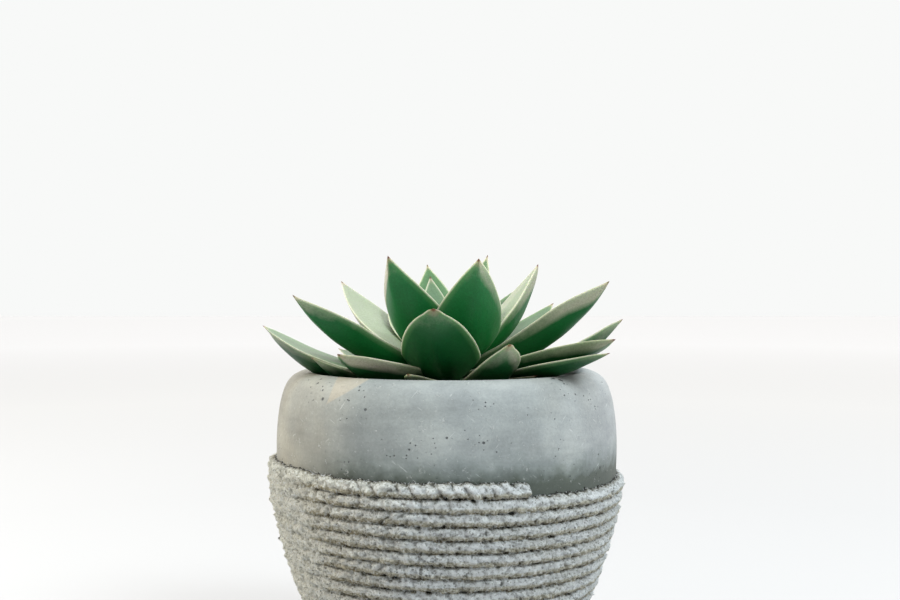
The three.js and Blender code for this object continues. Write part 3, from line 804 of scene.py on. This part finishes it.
def grown_leaf(leaf, order):
    """A sphere whose poles become the leaf's base and tip, with each ring laid round the leaf's section.
    The mesh carries, at each point, what the skin's colours are worked out from."""
    deselect_everything()
    bpy.ops.mesh.primitive_uv_sphere_add(segments=LEAF_SEGMENTS, ring_count=LEAF_RINGS, radius=1)
    grown = bpy.context.object
    grown.name = "leaf_skin_%02d" % (order + 1)
    mesh = grown.data
    labels = {name: [] for name in ("along", "edge_mm", "tip_mm", "upper", "wax_and_sheen", "low_leaf_shade")}
    right_wax_and_sheen, left_wax_and_sheen = LEAF_WAX_AND_SHEEN.get(order + 1, USUAL_WAX_AND_SHEEN)
    tip_place = leaf_skin_place(leaf, order, 1.0, math.pi / 2)
    for vertex in mesh.vertices:
        ball = vertex.co.normalized()
        along = math.acos(max(-1.0, min(1.0, -ball.z))) / math.pi
        along = 1 - (1 - along) ** RING_CROWDING
        angle = math.atan2(ball.y, ball.x)
        if abs(ball.z) > AT_POLE:
            top = leaf_skin_place(leaf, order, along, math.pi / 2)
            bottom = leaf_skin_place(leaf, order, along, -math.pi / 2)
            place = (top + bottom) / 2
            edge = 0.0
            upper = 0.5
        else:
            place = leaf_skin_place(leaf, order, along, angle)
            margin_angle = 0 if math.cos(angle) > 0 else math.pi
            edge = (place - leaf_skin_place(leaf, order, along, margin_angle)).length
            upper = clamped(0.5 + UPPER_BLEND * math.sin(angle))
        waver = noise.noise_vector(place / SKIN_WAVER_LENGTH + Vector((order, 0, 0)))
        vertex.co = (place + SKIN_WAVER * clamped(4 * along) * waver) * MM
        right_share = clamped(0.5 + HALVES_BLEND * math.cos(angle))
        labels["along"].append(along)
        labels["edge_mm"].append(edge)
        labels["tip_mm"].append((place - tip_place).length)
        labels["upper"].append(upper)
        # waxy bloom with painted sheen, set for each half of the leaf
        labels["wax_and_sheen"].append(left_wax_and_sheen + (right_wax_and_sheen - left_wax_and_sheen) * right_share)
        # painted shade on the oldest, lowest leaves
        labels["low_leaf_shade"].append(clamped((order + 1 - LOW_LEAF_SHADE_FROM) / LOW_LEAF_SHADE_OVER))
    for name, values in labels.items():
        mesh.attributes.new(name, "FLOAT", "POINT").data.foreach_set("value", values)
    bpy.ops.object.mode_set(mode="EDIT")
    bpy.ops.mesh.select_all(action="SELECT")
    bpy.ops.mesh.normals_make_consistent(inside=False)
    bpy.ops.object.mode_set(mode="OBJECT")
    bpy.ops.object.shade_smooth()
    return grown


def bloom_and_sheen_cover(material, wax_and_sheen, along, edge, mottle):
    """How much pale bloom and painted sheen cover the underside: thick at the tip, and in a ragged band along
    the margin.
    """
    sockets = {0: mottle, 1: BLOOM_SHEEN_WANDER, 2: -BLOOM_SHEEN_WANDER / 2}
    wander = add_node(material, "Math", sockets, operation="MULTIPLY_ADD")
    tipwards = add_node(material, "Math", {0: along, 1: wander}, operation="ADD")
    keelwards = add_node(material, "Math", {0: wander, 1: BAND_WANDER, 2: edge}, operation="MULTIPLY_ADD")
    from_keel = add_node(material, "Math", {0: BLOOM_SHEEN_BAND, 1: keelwards}, operation="SUBTRACT")
    sockets = {0: from_keel, 1: BAND_SOFTNESS}
    in_band = add_node(material, "Math", sockets, operation="MULTIPLY", use_clamp=True)
    kept = add_node(material, "Math", {0: wax_and_sheen, 1: in_band}, operation="MULTIPLY")
    share = add_node(material, "Math", {0: kept, 1: BAND_GAIN, 2: tipwards}, operation="MULTIPLY_ADD")
    past_start = add_node(material, "Math", {0: share, 1: BLOOM_SHEEN_START}, operation="SUBTRACT")
    cover = add_node(material, "Math", {0: past_start, 1: BLOOM_SHEEN_RISE}, operation="MULTIPLY", use_clamp=True)
    sockets = {0: wax_and_sheen, 1: BLOOM_SHEEN_THICKNESS, 2: BLOOM_SHEEN_THICKNESS}
    thickness = add_node(material, "Math", sockets, operation="MULTIPLY_ADD")
    return add_node(material, "Math", {0: cover, 1: thickness}, operation="MULTIPLY")


def waxy_leaf():
    """Living leaf under a thin waxy bloom: satin, slightly see-through where it is thin. The pale bloom is
    partly painted sheen, the brighter green near the margin is painted glow, and the oldest leaves carry
    painted shade. The bloom's real grain is finer than this speckle, which is drawn coarse enough to show."""
    material, shader = new_material("waxy_leaf_skin")
    shader.inputs["IOR"].default_value = 1.45
    shader.inputs["Specular IOR Level"].default_value = 0.28
    shader.inputs["Subsurface Weight"].default_value = 0.12
    shader.inputs["Subsurface Radius"].default_value = (0.6, 1.0, 0.3)
    shader.inputs["Subsurface Scale"].default_value = 2 * MM

    along = add_node(material, "Attribute", attribute_name="along").outputs["Fac"]
    edge = add_node(material, "Attribute", attribute_name="edge_mm").outputs["Fac"]
    tip_mm = add_node(material, "Attribute", attribute_name="tip_mm").outputs["Fac"]
    upper = add_node(material, "Attribute", attribute_name="upper").outputs["Fac"]
    wax_and_sheen = add_node(material, "Attribute", attribute_name="wax_and_sheen").outputs["Fac"]
    low_leaf_shade = add_node(material, "Attribute", attribute_name="low_leaf_shade").outputs["Fac"]
    mottle = cloudy(material, size_mm=6, detail=4, roughness=0.6)
    speckle = cloudy(material, size_mm=0.6, detail=3, roughness=0.7)

    stops = [(0.12, "#1b7836"), (0.5, "#0d662f"), (0.8, "#116632"), (0.97, "#357446")]
    leaf_green = add_node(material, "ValToRGB", {0: along}, stops)
    # painted shade: the deeper green of the oldest, lowest leaves
    stops = [(0.12, "#0d5c28"), (0.5, "#05401b"), (0.85, "#0e4721"), (0.98, "#3a6a42")]
    shaded_green = add_node(material, "ValToRGB", {0: along}, stops)
    bloom = bloom_and_sheen_cover(material, wax_and_sheen, along, edge, mottle)
    # the upper face paler where waxy bloom and painted sheen are given
    above = layered(material, "#3f7344", ("MIX", wax_and_sheen, 1.0, "#adb59d"))
    # painted glow: a brighter green band near the margin, where light shines through the thin tissue
    band = layered(material, "#5d9156", ("MIX", wax_and_sheen, 1.0, "#c2c2ab"))
    edge_share = add_node(material, "Math", {0: edge, 1: 0.3}, operation="MULTIPLY")
    edge_glow_mask = add_node(material, "ValToRGB", {0: edge_share}, [(0.05, "#ffffff"), (0.95, "#000000")])
    stops = [(0.1, "#ffffff"), (0.55, "#b8b8b8"), (1.0, "#000000")]
    margin = add_node(material, "ValToRGB", {0: edge}, stops)
    grain = add_node(material, "ValToRGB", {0: speckle}, [(0.3, "#b4b4b4"), (0.65, "#ffffff")])
    tip_share = add_node(material, "Math", {0: tip_mm, 1: 0.25}, operation="MULTIPLY")
    flush = add_node(material, "ValToRGB", {0: tip_share}, [(0.3, "#ffffff"), (1.0, "#000000")])
    point = add_node(material, "ValToRGB", {0: tip_share}, [(0.2, "#ffffff"), (0.42, "#000000")])
    colour = layered(
        material, leaf_green,
        # painted shade on the oldest, lowest leaves
        ("MIX", low_leaf_shade, 1.0, shaded_green),
        # pale waxy bloom with painted sheen
        ("MIX", bloom, 1.0, "#bdb8a5"),
        ("MIX", upper, 1.0, above),
        # painted glow near the margin
        ("MIX", edge_glow_mask, 0.6, band),
        ("MIX", margin, 0.85, "#e2dfc8"),
        ("MULTIPLY", None, 0.55, grain),
        ("MIX", flush, 0.4, "#b98e7c"),
        ("MIX", point, 1.0, "#5f362c"),
    )
    height = add_node(material, "Math", {0: speckle, 1: 0.12}, operation="MULTIPLY")
    height = add_node(material, "Math", {0: mottle, 1: 0.8, 2: height}, operation="MULTIPLY_ADD")
    finish_material(material, shader, colour, roughness=0.42, height=height, depth_mm=0.3)
    return material


leaf_skin = waxy_leaf()
noise.seed_set(SKIN_WAVER_SEED)
for order, row in enumerate(LEAVES):
    grown = grown_leaf(Leaf(*row), order)
    grown.data.materials.append(leaf_skin)
    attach(grown, "root")
    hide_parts("leaf_%02d" % (order + 1))


# The studio: a pale table top, soft daylight all round, a cool light above and a warm one at the left.
# The table darkens a little under the plant, so that it meets the pale wall evenly in the picture.
TABLE_SIZE = 12
TABLE_FADE = 4
ROOM_BRIGHTNESS = 0.33
WALL_BRIGHTNESS = 1.7
ROOM_SIDE = -0.9
WALL_SIDE = 0.6
LAMP_AIM = Vector((0, 0, 0.12))
LAMPS = [
    ("cool_window", (0.9, -0.8, 1.2), 0.5, 15.5, "#e8f1f4"),
    ("roof_light", (0.1, -0.3, 1.5), 0.5, 9, "#e1eff8"),
    ("warm_window", (-1.0, -0.1, 0.8), 0.3, 8, "#fff6e8"),
]


def table_top():
    """A matte white board."""
    deselect_everything()
    bpy.ops.mesh.primitive_plane_add(size=TABLE_SIZE, location=(0, 0, 0))
    table = bpy.context.object
    table.name = "table_top"
    material, shader = new_material("white_table_top")
    place = add_node(material, "TexCoord").outputs["Object"]
    distance = add_node(material, "VectorMath", {0: place}, operation="LENGTH").outputs["Value"]
    share = add_node(material, "Math", {0: distance, 1: 1 / TABLE_FADE}, operation="MULTIPLY")
    stops = [(0.0, "#b3b4b6"), (0.125, "#bcbdbf"), (0.325, "#d2d3d4"), (0.75, "#e6e8eb")]
    colour = add_node(material, "ValToRGB", {0: share}, stops).outputs["Color"]
    material.node_tree.links.new(colour, shader.inputs["Base Color"])
    shader.inputs["Roughness"].default_value = 0.9
    table.data.materials.append(material)
    return table


def daylight():
    """Light from all round, stronger from the wall behind, which the camera sees as plain and pale."""
    world = bpy.data.worlds.new("daylight")
    world.use_nodes = True
    sky = world.node_tree.nodes["Background"]
    sky.inputs["Strength"].default_value = 1.0
    direction = add_node(world, "TexCoord").outputs["Generated"]
    backwards = add_node(world, "SeparateXYZ", {0: direction}).outputs["Y"]
    brightness = add_node(world, "MapRange", {
        "Value": backwards, "From Min": ROOM_SIDE, "From Max": WALL_SIDE,
        "To Min": ROOM_BRIGHTNESS, "To Max": WALL_BRIGHTNESS,
    })
    tint = linear_colour("#fffcf8")[:3]
    light = add_node(world, "VectorMath", {0: tint, "Scale": brightness}, operation="SCALE")
    seen = add_node(world, "LightPath").outputs["Is Camera Ray"]
    colour = layered(world, light, ("MIX", seen, 1.0, "#f8f9f8"))
    world.node_tree.links.new(colour, sky.inputs["Color"])
    return world


def lamp(name, place, size, energy, hex_colour):
    """A square of light, turned towards the plant."""
    data = bpy.data.lights.new(name, "AREA")
    data.energy = energy
    data.color = linear_colour(hex_colour)[:3]
    data.size = size
    light = bpy.data.objects.new(name, data)
    light.location = place
    light.rotation_euler = (LAMP_AIM - Vector(place)).to_track_quat("-Z", "Y").to_euler()
    bpy.context.collection.objects.link(light)


table_top()
bpy.context.scene.world = daylight()
for row in LAMPS:
    lamp(*row)
bpy.context.scene.view_settings.view_transform = "Standard"
